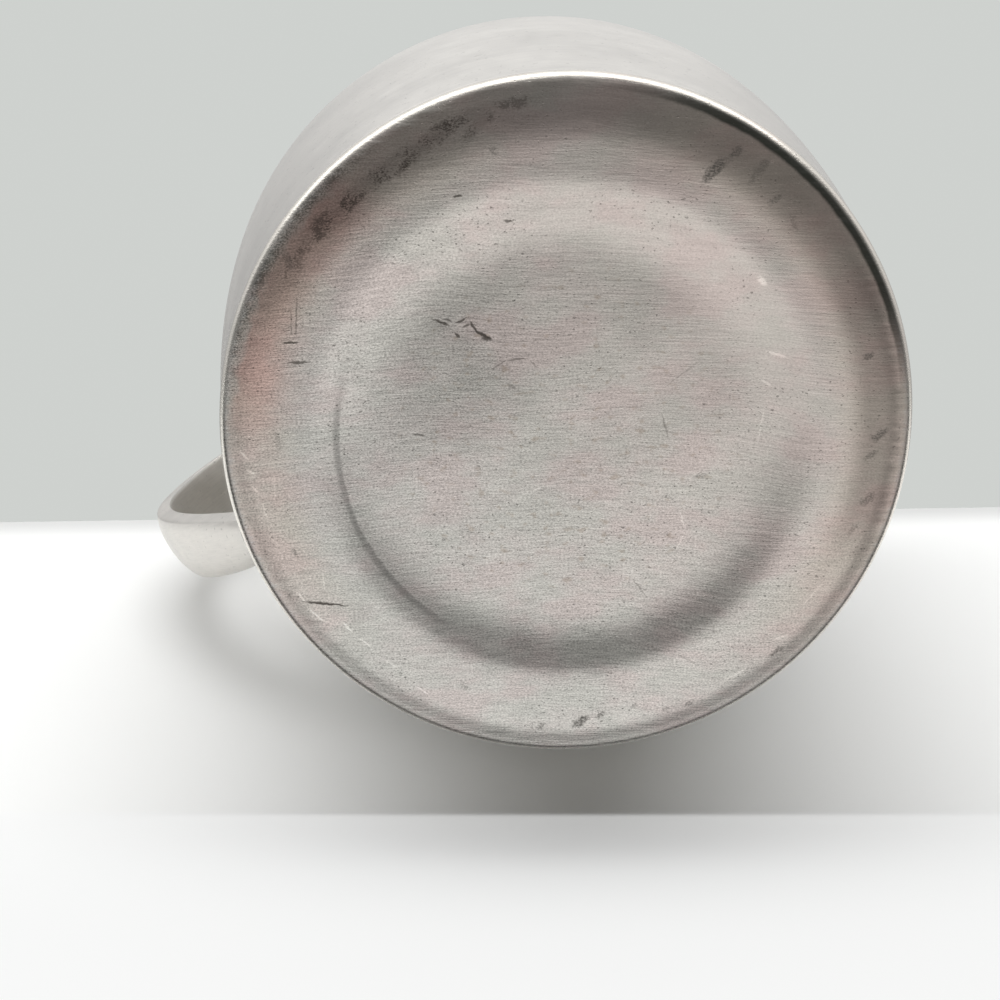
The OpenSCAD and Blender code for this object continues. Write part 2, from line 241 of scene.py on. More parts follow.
def worn_z(r, reach):
    """The same height with its corners rubbed round over a reach to each side."""
    taps = range(-WORN_TAPS, WORN_TAPS + 1)
    weights = [WORN_TAPS + 1 - abs(k) for k in taps]
    return sum(under_z(abs(r + reach * k / WORN_TAPS)) * w for k, w in zip(taps, weights)) / sum(weights)


def make_base():
    """Recess, ring, shoulder and rounded edge, with the slight waves and rubbed corners of a worn base."""
    steps = round(BEVEL_P[0] / UNDER_STEP)
    under = [(BEVEL_P[0] * i / steps, 0) for i in range(steps + 1)]
    under = [(r, worn_z(r, WORN_REACH * min(1.0, (BEVEL_P[0] - r) / 2))) for r, _ in under]
    under += [mix(BEVEL_P, BEVEL_Q, i / 5) for i in range(1, 5)]
    edge = arc((FOOT_R - EDGE_R, EDGE_Z), EDGE_R, BEVEL - pi / 2, 0, 12)
    inner = side(WALL)[0]
    upper = [(FOOT_R, SEAM_Z - LIP_CHAMFER), (FOOT_R - LIP_CHAMFER, SEAM_Z), (inner[0], SEAM_Z)]
    upper += [(x, z + BASE_T) for x, z in reversed(under[::3]) if x < inner[0] - INNER_GAP]
    mesh = spin(under + edge + upper, steps=320)
    for vert in mesh.verts:
        r, u = vert.co.dot(RIGHT), vert.co.dot(UP)
        reach = hypot(r, u)
        wave = LONG_WAVE * sin(0.31 * r + 0.9) * cos(0.27 * u - 0.4)
        wave += SHORT_WAVE * sin(0.62 * u - 0.35 * r + 1.7)
        vert.co.z += wave * min(1.0, max(0.0, (FOOT_R - 1.5 - reach) / 6))
    return finish_piece(mesh, "dished_base", "base", 50)


def make_bead():
    """Half-round wire outside the mouth, open where the spout is."""
    line = side(0)
    top = line[-1]
    foot = next(p for p in reversed(line) if p[1] < BODY_H - BEAD_W)
    c, d = mix(foot, top, 0.5), (foot[0] - top[0], foot[1] - top[1])
    a = atan2(d[1], d[0])
    half = arc(c, hypot(*d) / 2, a, a + pi, 24)
    gap = asin((SPOUT_W / 2 + BEAD_GAP) / MOUTH_R)
    mesh = spin(half, steps=220, angle=2 * pi - 2 * gap, start=gap, closed=True)
    return finish_piece(mesh, "mouth_wire", "mouth_bead", 40)


def nose(u):
    """How far out the spout reaches across its width: 1 in the middle, rounded, and 0 at its edges."""
    return 1 - (sqrt(u * u + NOSE * NOSE) - NOSE) / (sqrt(1 + NOSE * NOSE) - NOSE)


def spout_point(u, v):
    """Outer face of the spout: u from -1 to 1 across, v from 0 at the toe to 1 at the mouth."""
    n = nose(u)
    z = BODY_H - SPOUT_H + (SPOUT_H + SPOUT_RISE * n ** RISE_POWER) * v
    w = half_w(z)
    x = wall_x(z, w) + SPOUT_GAP
    tip = body_r(z) + TOE_OUT + (SPOUT_OUT - TOE_OUT) * spout_lift(z) ** LIFT_POWER
    return x + (tip - x) * n, w * u, z


def make_spout():
    mesh = loft(64, 72, lambda s, t: spout_point(2 * s - 1, t), tube=False)
    bmesh.ops.recalc_face_normals(mesh, faces=mesh.faces)
    if sum(f.normal.x for f in mesh.faces) < 0:
        bmesh.ops.reverse_faces(mesh, faces=mesh.faces)
    piece = finish_piece(mesh, "beak_spout", "spout", 40)
    wall = piece.modifiers.new("sheet", "SOLIDIFY")
    wall.thickness, wall.offset, wall.use_even_offset = SPOUT_T * MM, -1, True
    edge = piece.modifiers.new("edge", "BEVEL")
    edge.width, edge.segments, edge.limit_method, edge.angle_limit = SHEET_EDGE * MM, 3, "ANGLE", radians(50)
    return piece


# Handle: a strap along two cubic curves, by distance from the axis and height
PAD_HALF = HANDLE_T * END_SPREAD / 2 + SOLDER_LAP
TOP_Z = BODY_H - BEAD_W - HANDLE_DROP - PAD_HALF
LOW_Z = TOP_Z - HANDLE_H
P_TOP = (body_r(TOP_Z) + SOLDER_TOP_T, TOP_Z)
P_OUT = (HANDLE_REACH - HANDLE_T / 2, TOP_Z - HANDLE_FALL)
P_LOW = (body_r(LOW_Z) + SOLDER_LOW_T, LOW_Z)
TOP_SPAN, LOW_SPAN = P_OUT[0] - P_TOP[0], P_OUT[0] - P_LOW[0]
UPPER = [P_TOP, (P_TOP[0] + 0.68 * TOP_SPAN, P_TOP[1] + 0.1 * TOP_SPAN),
         (P_OUT[0], P_OUT[1] + 0.82 * HANDLE_FALL), P_OUT]
LOWER = [P_OUT, (P_OUT[0], P_OUT[1] - 0.4 * (P_OUT[1] - P_LOW[1])),
         (P_LOW[0] + 0.36 * LOW_SPAN, P_LOW[1] + 0.34 * LOW_SPAN), P_LOW]
STRAP = [(0, -0.5), (0.45, -0.5), (0.5, -0.38), (0.5, 0.1),
         (0.46, 0.22), (0.34, 0.37), (0.18, 0.47), (0, 0.5)]


def strap_outline(s):
    """The strap's rounded outline at a share s of the way round it, as shares of its width and thickness."""
    loop = STRAP + [(-x, y) for x, y in reversed(STRAP[1:-1])]
    at = (s % 1.0) * len(loop)
    i, t = int(at) % len(loop), at % 1.0
    p0, p1, p2, p3 = (loop[(i + k) % len(loop)] for k in (-1, 0, 1, 2))
    return [0.5 * (2 * b + (c - a) * t + (2 * a - 5 * b + 4 * c - d) * t * t
                   + (3 * b - a - 3 * c + d) * t ** 3)
            for a, b, c, d in zip(p0, p1, p2, p3)]


def strap_point(s, t, lap=0.0):
    """A point of the strap, t from 0 at the upper joint over 1 to 2 at the lower joint."""
    p, k = (UPPER, t) if t <= 1 else (LOWER, t - 1)
    c = [(1 - k) ** 3 * a + 3 * k * (1 - k) ** 2 * b + 3 * k * k * (1 - k) * d + k ** 3 * e
         for a, b, d, e in zip(*p)]
    h = [(1 - k) ** 2 * (b - a) + 2 * k * (1 - k) * (d - b) + k * k * (e - d) for a, b, d, e in zip(*p)]
    size = hypot(*h)
    n = (-h[1] / size, h[0] / size)
    spread = 1 + (END_SPREAD - 1) * max(0.0, 1 - t / 2) ** 12
    w = (HANDLE_W + (HANDLE_LOW_W - HANDLE_W) * (t / 2) ** 3) * spread + 2 * lap
    thick = (HANDLE_T + (HANDLE_LOW_T - HANDLE_T) * t / 2) * spread + 2 * lap
    x, y = strap_outline(s)
    return -(c[0] + n[0] * y * thick), x * w, c[1] + n[1] * y * thick


def on_wall(p):
    """The point of the body's outside, on the handle's side, at the height and breadth of p."""
    return -wall_x(p[2], p[1]) - SKIN, p[1], p[2]


def make_handle():
    mesh = loft(56, 150, lambda s, v: strap_point(s, 2 * v))
    return finish_piece(mesh, "ear_handle", "handle", 55)


def make_pad(t, name, node):
    """Solder between an end of the handle and the wall, with a waist and a slightly lumpy skirt."""
    middle = strap_point(0.25, t), strap_point(0.75, t)
    c = on_wall([(a + b) / 2 for a, b in zip(*middle)])

    def place(s, v):
        top, edge = strap_point(s, t), on_wall(strap_point(s, t, SOLDER_LAP + 0.12 * sin(14 * s * pi + t)))
        waist = mix(strap_point(s, t, 0.25 * SOLDER_LAP), edge, 0.45)
        if v <= 0.7:
            k = v / 0.7
            return mix(mix(top, waist, k), mix(waist, edge, k), k)
        return on_wall(mix(edge, c, (v - 0.7) / 0.3 * 0.9))

    return finish_piece(loft(72, 20, place), name, node, 60)


def make_spout_seam():
    """Fillet of solder down one edge of the spout, under its toe and up the other edge."""
    def corner(v):
        """The corner of spout and wall at v, and the fillet's edges on the wall and on the spout."""
        if v < TOE_FROM or v > TOE_TO:
            s, k = (1, 1 - v / TOE_FROM) if v < 0.5 else (-1, (v - TOE_TO) / TOE_FROM)
            p, q = Vector(spout_point(s, k)), Vector(spout_point(s * 0.88, k))
            y = p.y + s * SEAM_LEG
            out = Vector((wall_x(p.z, y) + SKIN, y, p.z))
            return p, out, p.lerp(q, min(1.0, SEAM_LEG / (q - p).length))
        q = Vector(spout_point(1 - 2 * (v - TOE_FROM) / TOE_SHARE * 0.999, 0))
        p = Vector((wall_x(q.z, q.y), q.y, q.z))
        low = q.z - SEAM_LEG
        return p, Vector((wall_x(low, q.y) + SKIN, q.y, low)), q

    def place(s, v):
        """Round the fillet: its hollow face up to s = 0.6, then along the spout and back along the wall."""
        p, out, up = corner(v)
        if s < 0.6:
            k = s / 0.6
            return out.lerp(p, k).lerp(p.lerp(up, k), k) * 0.45 + out.lerp(up, k) * 0.55
        return up.lerp(p, (s - 0.6) / 0.2) if s < 0.8 else p.lerp(out, (s - 0.8) / 0.2)

    return finish_piece(loft(15, 150, place), "spout_seam", "spout_solder", 60)


pieces = {
    "body": make_body(),
    "base": make_base(),
    "bead": make_bead(),
    "spout": make_spout(),
    "handle": make_handle(),
    "pad_top": make_pad(0, "upper_pad", "handle_solder_upper"),
    "pad_low": make_pad(2, "lower_pad", "handle_solder_lower"),
    "seam": make_spout_seam(),
}


# Shader maths

class Value:
    """A number that varies over a surface. Arithmetic on it adds Math nodes."""

    def __init__(self, nodes, socket):
        self.nodes, self.socket = nodes, socket

    def __add__(self, other):
        return self.nodes.math("ADD", self, other)

    def __sub__(self, other):
        return self.nodes.math("SUBTRACT", self, other)

    def __rsub__(self, other):
        return self.nodes.math("SUBTRACT", other, self)

    def __mul__(self, other):
        return self.nodes.math("MULTIPLY", self, other)

    def __truediv__(self, other):
        return self.nodes.math("DIVIDE", self, other)

    __radd__, __rmul__ = __add__, __mul__


class Nodes:
    """One node tree and the ways to add to it."""

    def __init__(self, tree):
        self.tree = tree

    def node(self, kind, settings=None, inputs=None, out=0):
        """Adds a node, with its settings first and then its sockets' values or links."""
        made = self.tree.nodes.new("ShaderNode" + kind)
        for key, value in (settings or {}).items():
            if key == "stops":
                ramp = made.color_ramp
                while len(ramp.elements) < len(value):
                    ramp.elements.new(0.5)
                for stop, (at, shade) in zip(ramp.elements, value):
                    stop.position = at
                    stop.color = (*(shade if isinstance(shade, tuple) else (shade,) * 3), 1)
            else:
                setattr(made, key, value)
        for key, value in (inputs or {}).items():
            self.feed(made.inputs[key], value)
        return Value(self, made.outputs[out])

    def feed(self, socket, value):
        if isinstance(value, Value):
            self.tree.links.new(value.socket, socket)
        elif isinstance(value, (tuple, list, Vector)) and len(value) == 3 and socket.type == "RGBA":
            socket.default_value = (*value, 1)
        else:
            socket.default_value = value

    def math(self, kind, *values):
        return self.node("Math", {"operation": kind}, dict(enumerate(values)))

    def vector(self, x=0.0, y=0.0, z=0.0):
        return self.node("CombineXYZ", None, {0: x, 1: y, 2: z})

    def scaled(self, vector, factor):
        return self.node("VectorMath", {"operation": "SCALE"}, {0: vector, "Scale": factor}, out="Vector")

    def grey(self, value):
        return self.node("CombineColor", None, {0: value, 1: value, 2: value})

    def dot(self, a, b):
        return self.node("VectorMath", {"operation": "DOT_PRODUCT"}, {0: a, 1: b}, out="Value")

    def fade(self, value, low, high, to_low=0.0, to_high=1.0):
        """Smooth step from to_low at low to to_high at high."""
        return self.node("MapRange", {"interpolation_type": "SMOOTHSTEP"}, {
            "Value": value, "From Min": low, "From Max": high, "To Min": to_low, "To Max": to_high})

    def noise(self, vector, scale=1.0, detail=3.0, rough=0.5, bend=0.0):
        return self.node("TexNoise", None, {"Vector": vector, "Scale": scale, "Detail": detail,
                                            "Roughness": rough, "Distortion": bend})

    def blend(self, factor, a, b, kind="MIX"):
        """Mixes two colours."""
        return self.node("Mix", {"data_type": "RGBA", "blend_type": kind}, {0: factor, 6: a, 7: b}, out=2)


class Finish(Nodes):
    """A surface finish whose sizes are in millimetres."""

    def __init__(self, name, **fixed):
        self.material = bpy.data.materials.new(name)
        self.material.use_nodes = True
        super().__init__(self.material.node_tree)
        self.shader = self.tree.nodes["Principled BSDF"]
        for key, value in fixed.items():
            self.feed(self.shader.inputs[key.replace("_", " ").title()], value)
        place = self.node("TexCoord", out="Object")
        self.place = self.scaled(place, 1 / MM)
        split = self.node("SeparateXYZ", None, {0: self.place})
        self.x, self.y, self.z = (Value(self, split.socket.node.outputs[i]) for i in range(3))

    def show(self, **sockets):
        for key, value in sockets.items():
            self.feed(self.shader.inputs[key.replace("_", " ").title()], value)

    def relief(self, *layers):
        """Bumps, each a height in millimetres with its own fade, one on the other."""
        height = layers[0]
        for layer in layers[1:]:
            height = height + layer
        self.show(normal=self.node("Bump", None, {"Strength": 1.0, "Distance": MM, "Height": height}))


def flecks(f, vector, low, high):
    """Small marks: 1 in a mark, 0 outside."""
    return f.fade(f.noise(vector, 1.0, 1.0, 0.4), low, high)


def band(f, value, a, b, c, d):
    """0 up to a, 1 from b to c, 0 from d on."""
    return f.fade(value, a, b) * f.fade(value, d, c)


def marks(f, place, rows):
    """Adds a group of marks, 1 on a mark and 0 beside it. A mark runs from a to b and tapers to its ends."""
    tree = bpy.data.node_groups.new("marks of wear", "ShaderNodeTree")
    tree.interface.new_socket("Vector", in_out="INPUT", socket_type="NodeSocketVector")
    tree.interface.new_socket("Value", in_out="OUTPUT", socket_type="NodeSocketFloat")
    g = Nodes(tree)
    at, total = Value(g, tree.nodes.new("NodeGroupInput").outputs[0]), 0.0
    for a, b, width, strength in rows:
        half = hypot(b[0] - a[0], b[1] - a[1]) / 2
        off = g.node("Mapping", {"vector_type": "TEXTURE"}, {
            "Vector": at, "Location": (*mix(a, b, 0.5), 0.0), "Scale": (half + width, width, 1.0),
            "Rotation": (0.0, 0.0, atan2(b[1] - a[1], b[0] - a[0]))})
        off = g.node("VectorMath", {"operation": "LENGTH"}, {0: off}, out="Value")
        total = g.math("MULTIPLY_ADD", g.fade(off, 1.0, 0.45), strength, total)
    g.feed(tree.nodes.new("NodeGroupOutput").inputs[0], g.math("MINIMUM", total, 1.0))
    return f.node("Group", {"node_tree": tree}, {"Vector": place})


def toward(f, cos_r, cos_u, degrees, width):
    """1 towards a way on the base, in degrees clockwise from the right, fading out over width degrees."""
    a = radians(degrees)
    facing = cos_r * cos(a) - cos_u * sin(a)
    return f.fade(facing, cos(radians(width)), cos(radians(width * 0.45)))


def shaken(f, r, u, by, seed, *noise):
    """The place on the base, moved about by noise of the given scale, detail and roughness."""
    return f.vector(r + (f.noise(f.place, *noise) - 0.5) * by,
                    u + (f.noise(f.vector(u, r, seed), *noise) - 0.5) * by)


# Marks of wear on the base in millimetres right of and above its middle: from, to, width, strength
SCRATCHES = [
    ((-21.9, -13.05), (-17.1, -13.4), 0.12, 1.0), ((-21.2, -13.0), (-19.0, -13.15), 0.1, 0.6),
    ((-10.5, 9.8), (-9.0, 9.2), 0.13, 0.9), ((-9.6, 9.7), (-8.9, 9.6), 0.11, 0.7),
    ((-8.7, 8.7), (-8.3, 8.3), 0.14, 0.9), ((-8.6, 9.4), (-7.8, 9.8), 0.12, 0.9),
    ((-8.1, 9.1), (-7.5, 9.4), 0.12, 0.7), ((-7.5, 9.6), (-7.0, 8.8), 0.14, 0.9),
    ((-7.2, 8.9), (-5.9, 8.25), 0.16, 1.0), ((-6.6, 8.35), (-5.9, 8.2), 0.19, 0.9),
    ((-6.0, 5.8), (-4.7, 6.6), 0.09, 0.45), ((-4.7, 6.6), (-2.9, 6.75), 0.11, 0.6),
    ((-2.9, 6.7), (-2.3, 5.9), 0.09, 0.4), ((-8.6, 18.7), (-8.0, 18.8), 0.13, 0.9),
    ((-4.9, 17.0), (-4.3, 17.0), 0.12, 0.8), ((-12.2, 0.7), (-11.1, 0.6), 0.12, 0.7),
    ((-21.8, 8.1), (-20.4, 8.15), 0.13, 0.9), ((-21.5, 6.6), (-19.7, 6.65), 0.14, 0.8),
    ((-20.4, 12.1), (-20.7, 8.0), 0.09, 0.5), ((-20.9, 11.0), (-21.0, 8.4), 0.09, 0.35),
    ((7.5, 2.6), (8.2, 0.2), 0.09, 0.45), ((7.4, 4.2), (10.8, 7.0), 0.09, 0.25),
    ((-4.6, 4.7), (-3.9, 4.4), 0.19, 0.4), ((5.6, -11.3), (7.2, -13.4), 0.09, 0.35),
    ((9.4, -17.6), (11.6, -18.9), 0.09, 0.3),
]
LIGHT_SCRATCHES = [
    ((15.2, 7.4), (16.9, 6.9), 0.14, 0.7), ((15.0, 5.2), (16.0, 4.6), 0.12, 0.6),
    ((15.6, 3.2), (15.2, -0.6), 0.09, 0.5), ((14.2, 12.9), (14.6, 12.5), 0.3, 1.0),
    ((9.4, -5.4), (9.9, -7.6), 0.09, 0.7), ((9.9, -7.6), (9.2, -9.0), 0.09, 0.6),
    ((-25.7, -0.4), (-25.0, -1.1), 0.14, 0.9), ((-25.2, -1.9), (-24.5, -2.3), 0.14, 0.9),
    ((-24.9, -3.2), (-24.2, -4.0), 0.12, 0.7), ((-24.1, -4.6), (-23.8, -6.0), 0.12, 0.6),
    ((-23.6, -7.6), (-22.9, -8.2), 0.11, 0.6), ((-21.9, -12.2), (-21.1, -13.2), 0.14, 0.9),
    ((-20.9, -13.7), (-19.9, -14.7), 0.15, 1.0), ((-20.3, -14.6), (-19.2, -14.9), 0.12, 0.7),
    ((-19.6, -10.2), (-19.5, -12.1), 0.11, 0.7), ((-18.2, -14.8), (-17.2, -16.0), 0.14, 0.9),
    ((-17.0, -16.2), (-15.7, -17.2), 0.12, 0.8), ((-14.8, -18.3), (-13.7, -19.0), 0.12, 0.7),
    ((-12.2, -20.7), (-11.2, -21.5), 0.12, 0.6), ((-23.0, -1.4), (-23.1, -5.2), 0.09, 0.4),
    ((19.6, -13.4), (21.4, -11.0), 0.12, 0.5), ((17.2, -16.6), (18.9, -15.9), 0.14, 0.6),
    ((13.4, -20.4), (15.6, -18.9), 0.12, 0.5), ((-4.2, -5.0), (-2.8, -3.9), 0.09, 0.3),
    ((-2.5, -3.9), (-1.8, -3.6), 0.09, 0.6), ((-18.0, 17.6), (-16.2, 18.6), 0.11, 0.5),
    ((-13.4, 20.9), (-11.0, 21.9), 0.09, 0.4),
]
STAINS = [
    ((9.7, 19.9), (10.9, 21.3), 0.54, 1.0), ((11.3, 21.4), (12.3, 22.2), 0.36, 0.7),
    ((12.9, 19.8), (14.3, 21.4), 0.4, 0.5), ((14.6, 18.3), (15.3, 18.9), 0.29, 0.5),
    ((16.2, 17.4), (16.6, 16.4), 0.29, 0.3), ((1.2, -24.4), (2.1, -23.6), 0.5, 1.0),
    ((3.1, -23.6), (3.6, -23.2), 0.32, 0.8), ((-1.9, -24.6), (-1.5, -24.3), 0.32, 0.7),
    ((8.7, -23.0), (9.1, -22.7), 0.29, 0.55), ((10.6, -22.5), (11.1, -22.2), 0.32, 0.6),
    ((5.9, -22.7), (6.3, -22.4), 0.22, 0.4), ((17.3, -18.0), (18.3, -17.2), 0.32, 0.8),
    ((23.9, 0.7), (24.9, 1.2), 0.43, 0.8), ((23.5, -0.9), (24.3, -0.5), 0.32, 0.5),
    ((23.6, -4.6), (24.4, -4.0), 0.47, 0.55), ((22.8, -7.2), (23.4, -6.4), 0.36, 0.35),
    ((22.6, 7.0), (23.2, 7.2), 0.25, 0.8), ((10.5, -2.8), (11.2, -2.5), 0.32, 0.45),
    ((-22.7, 1.4), (-22.5, -0.2), 0.36, 0.3), ((-21.3, 14.7), (-20.7, 13.7), 0.43, 0.6),
    ((-5.9, 22.1), (-5.5, 21.8), 0.25, 0.5), ((-21.9, -8.6), (-21.6, -8.9), 0.22, 0.6),
    ((-22.5, -12.6), (-22.4, -12.8), 0.18, 0.7), ((-8.4, -20.6), (-8.0, -20.8), 0.22, 0.5),
]
GRIME_TRACK = [
    ((-20.9, 12.6), (-20.2, 14.6), 0.9, 0.5), ((-20.0, 15.0), (-17.4, 17.6), 1.0, 0.8),
    ((-17.6, 16.6), (-16.0, 18.6), 0.8, 0.8), ((-16.4, 18.4), (-14.0, 20.2), 0.9, 0.9),
    ((-14.0, 20.1), (-10.7, 22.3), 1.0, 1.0), ((-10.7, 22.3), (-8.5, 23.8), 0.85, 1.0),
    ((-8.5, 23.8), (-6.0, 24.9), 0.6, 0.8), ((-6.0, 24.9), (-2.4, 25.4), 0.5, 0.6),
    ((-7.8, 22.8), (-5.6, 24.5), 0.5, 0.8),
]


# Colours of the base: bare, worn and lit at the edge (wear and a painted highlight), and what lies on it
BARE, EDGE_WORN_AND_LIT = (0.682, 0.655, 0.614), (0.84, 0.81, 0.74)
RUST, GRIME, STAIN = (0.36, 0.27, 0.19), (0.075, 0.062, 0.052), (0.10, 0.095, 0.085)
SCRATCH, EDGE_BLACK = (0.07, 0.06, 0.05), (0.035, 0.042, 0.034)
# Casts that the bare colour is multiplied by
WARM, FLUSH, PINK = (1.02, 0.965, 0.945), (1.0, 0.93, 0.885), (1.03, 0.86, 0.83)
ROSY, COOL = (1.01, 0.955, 0.965), (0.965, 0.99, 0.98)


def base_finish():
    """Worn pewter, brushed across in shallow bows, with grain, pits, scratches, stains and a darkened rim, and
    with painted shade, highlights and a painted dark reflection.
    """
    f = Finish("worn base pewter", metallic=1.0)
    r, u = f.dot(f.place, tuple(RIGHT)), f.dot(f.place, tuple(UP))
    reach = f.math("SQRT", r * r + u * u + 0.01)
    cos_r, cos_u = r / reach, u / reach

    def around(degrees, width):
        return toward(f, cos_r, cos_u, degrees, width)

    # Noises: r and u are stretched so that all but the clouds and blotches run across, in shallow bows
    clouds = f.noise(f.place, 0.11, 3.0, 0.55, 0.6)
    blotch = f.noise(f.place, 0.42, 4.0, 0.6, 0.3)
    lean = u + r * r * 0.002 + f.noise(f.place, 0.07, 1.0) * 2.0
    streak = f.noise(f.vector(r * 0.22, lean * 2.4, 4.0), 1.0, 4.0, 0.65)
    hair = f.noise(f.vector(r * 0.45, lean * 6.5, 0.0), 1.0, 3.0, 0.65)
    grain = f.noise(f.vector(r * 5.5, lean * 9.0, 8.0), 1.0, 2.0, 0.7)
    mottle = f.noise(f.vector(r * 0.15, lean * 0.26, 12.0), 1.0, 3.0, 0.55)
    dark_hair, light_hair = f.fade(hair, 0.56, 0.72), f.fade(hair, 0.44, 0.30)
    sharp = f.fade(r * 0.6 + u * 0.8, 24.0, -6.0, 0.34, 1.2)

    # Pits, specks, scratches and stains
    patches = f.fade(f.noise(f.vector(r, u, 5.0), 0.16, 2.0), 0.36, 0.62)
    pits = flecks(f, f.vector(r * 3.0, u * 4.6, 2.0), 0.66, 0.74) * (0.25 + patches * 0.75)
    specks = flecks(f, f.vector(r * 5.0, u * 8.0, 6.0), 0.66, 0.76) * (0.3 + patches * 0.7)
    rust = flecks(f, f.vector(r * 1.1, u * 1.6, 9.0), 0.60, 0.76) * f.fade(reach, 16.0, 11.0)

    wobbled = shaken(f, r, u, 0.25, 4.0, 2.2, 2.0)
    scratch, light = marks(f, wobbled, SCRATCHES), marks(f, wobbled, LIGHT_SCRATCHES)
    ragged = shaken(f, r, u, 1.1, 6.0, 1.9, 4.0, 0.75)
    stain = marks(f, ragged, STAINS) * f.fade(grain, 0.60, 0.44, 0.45)
    broken = f.fade(grain * 0.35 + blotch * 0.65, 0.53, 0.44)
    track = marks(f, ragged, GRIME_TRACK) * (0.3 + broken * 0.9)

    # Bands round the edge, each by its distance from the middle and the way that it lies; some are painted
    # shade, highlight or reflection, as marked
    streaked = reach + (streak - 0.5) * 1.6
    frayed = reach + (blotch - 0.5) * 0.4
    # Painted shade: the outer ring and bevel darkened along the top
    painted_shade_top = band(f, streaked, 21.8, 24.0, 26.4, 27.0) * around(272, 78)
    # Painted shade: the outer ring darkened on its right
    painted_shade_right = band(f, streaked, 21.6, 23.8, 25.4, 26.6)
    painted_shade_right = painted_shade_right * (around(352, 34) * 0.75 + around(20, 62) * 0.25)
    black = band(f, frayed, 26.1, 26.4, 26.85, 27.02) * around(314, 40)
    speckled = band(f, reach + (blotch - 0.5) * 0.9, 25.9, 26.3, 26.75, 26.95) * around(212, 28)
    black = f.math("MAXIMUM", black, speckled * f.fade(grain * 0.6 + blotch * 0.4, 0.55, 0.45, 0.0, 0.55))
    pink = band(f, reach + (blotch - 0.5) * 2.0, 21.8, 24.6, 25.6, 26.5) * around(207, 30)
    flush = f.math("MAXIMUM", around(340, 75), around(200, 70))
    flush = flush * band(f, streaked, 20.0, 23.5, 26.3, 26.9)
    warm = f.fade(r * 0.7 + u * 0.7, -20.0, 24.0)
    # Painted shade: a thin dark line just inside the crease of the recess, on its lower left
    painted_crease_shade = band(f, reach + (blotch - 0.5) * 0.3, 17.75, 17.95, 18.1, 18.5)
    painted_crease_shade = painted_crease_shade * around(158, 44) * (0.5 + grain)
    # worn: the outermost rim lightened, partly wear and partly a painted highlight
    worn = f.fade(reach, 26.7, 27.05)
    scuff = f.fade(f.noise(f.vector((r + u) * 1.3, (u - r) * 6.0, 1.0), 1.0, 3.0, 0.7), 0.55, 0.67)
    scuff = scuff * f.fade(reach, 22.5, 25.0) * around(140, 75)
    # Painted highlight: the rim lightened along its lower half
    painted_low_rim_light = f.fade(reach, 26.0, 26.5) * f.fade(u, 2.0, -8.0)
    # Painted reflection: a soft dark cloud on the disc, left of and above the middle
    painted_dark_reflection = band(f, f.math("SQRT", (r + 9.0) * (r + 9.0) + (u - 5.5) * (u - 5.5)), -1.0, 0.0, 1.0, 9.5)

    # Lightness, then colour, then what lies on the metal
    # Painted light: the metal a little lighter towards the right
    tone = f.fade(r, -4.0, 12.0, 0.965, 0.995)
    tone = tone + (clouds - 0.5) * 0.20 + (blotch - 0.5) * 0.16 + (streak - 0.5) * 0.28
    tone = tone + ((grain - 0.5) * 1.5 + (hair - 0.5) * 1.2 + light_hair * 0.16 - dark_hair * 0.22) * sharp
    tone = tone - pits * 0.36 - specks * 0.26 + scuff * 0.26 + light * 0.42 - painted_dark_reflection * 0.16
    tone = tone + light_hair * painted_shade_top * 0.22 + painted_low_rim_light * 0.22
    tone = tone * (1 - painted_shade_top * 0.48) * (1 - painted_shade_right * 0.42) * (1 - painted_crease_shade * 0.35)
    colour = f.blend(1.0, f.grey(tone), BARE, "MULTIPLY")
    rosy, cool = f.fade(mottle, 0.48, 0.62), f.fade(mottle, 0.50, 0.38)
    for amount, cast in ((warm, WARM), (flush * 0.8, FLUSH), (pink, PINK), (rosy, ROSY), (cool, COOL)):
        colour = f.blend(amount, colour, f.blend(1.0, colour, cast, "MULTIPLY"))
    for amount, cover in ((rust * 0.35, RUST), (track * 0.72, GRIME), (stain * 0.8, STAIN),
                          (scratch * 0.9, SCRATCH), (black * 0.9, EDGE_BLACK), (worn * 0.6, EDGE_WORN_AND_LIT)):
        colour = f.blend(amount, colour, cover)
    rough = 0.31 + (hair - 0.5) * 0.14 + (clouds - 0.5) * 0.10
    rough = rough + painted_shade_top * 0.08 + stain * 0.1 - worn * 0.06 + pits * 0.1
    f.show(base_color=colour, roughness=rough)
    f.relief((hair - 0.5) * 0.014, (streak - 0.5) * 0.016, (grain - 0.5) * 0.004, (blotch - 0.5) * 0.02,
             pits * -0.012)
    return f.material


# Tints of the other metal
SPUN_TINT, CAST_TINT, SOLDER_TINT = (0.755, 0.735, 0.70), (0.77, 0.745, 0.705), (0.56, 0.555, 0.54)


def pewter(name, tint, rough, lines, depth):
    """Satin pewter with fine lines along one way, soft clouds and a few handling marks.

    tint is its colour, rough its roughness, lines(f) the stretched place that the fine lines follow, and
    depth the height of their relief in millimetres.
    """
    f = Finish(name, metallic=1.0)
    clouds = f.noise(f.place, 0.07, 3.0, 0.55, 0.5)
    hair = f.noise(lines(f), 1.0, 4.0, 0.65)
    rub = f.noise(f.place, 0.6, 4.0, 0.65)
    pits = flecks(f, f.scaled(f.place, 2.2), 0.70, 0.76)
    tone = 0.95 + (clouds - 0.5) * 0.20 + (hair - 0.5) * 0.24 + (rub - 0.5) * 0.12 - pits * 0.25
    f.show(base_color=f.blend(1.0, f.grey(tone), tint, "MULTIPLY"),
           roughness=rough + (clouds - 0.5) * 0.14 + (rub - 0.5) * 0.10 + (hair - 0.5) * 0.08)
    f.relief((hair - 0.5) * depth, (rub - 0.5) * depth * 2, pits * -0.015)
    return f.material


def round_lines(f):
    return f.vector(f.x * 0.05, f.y * 0.05, f.z * 5.5)


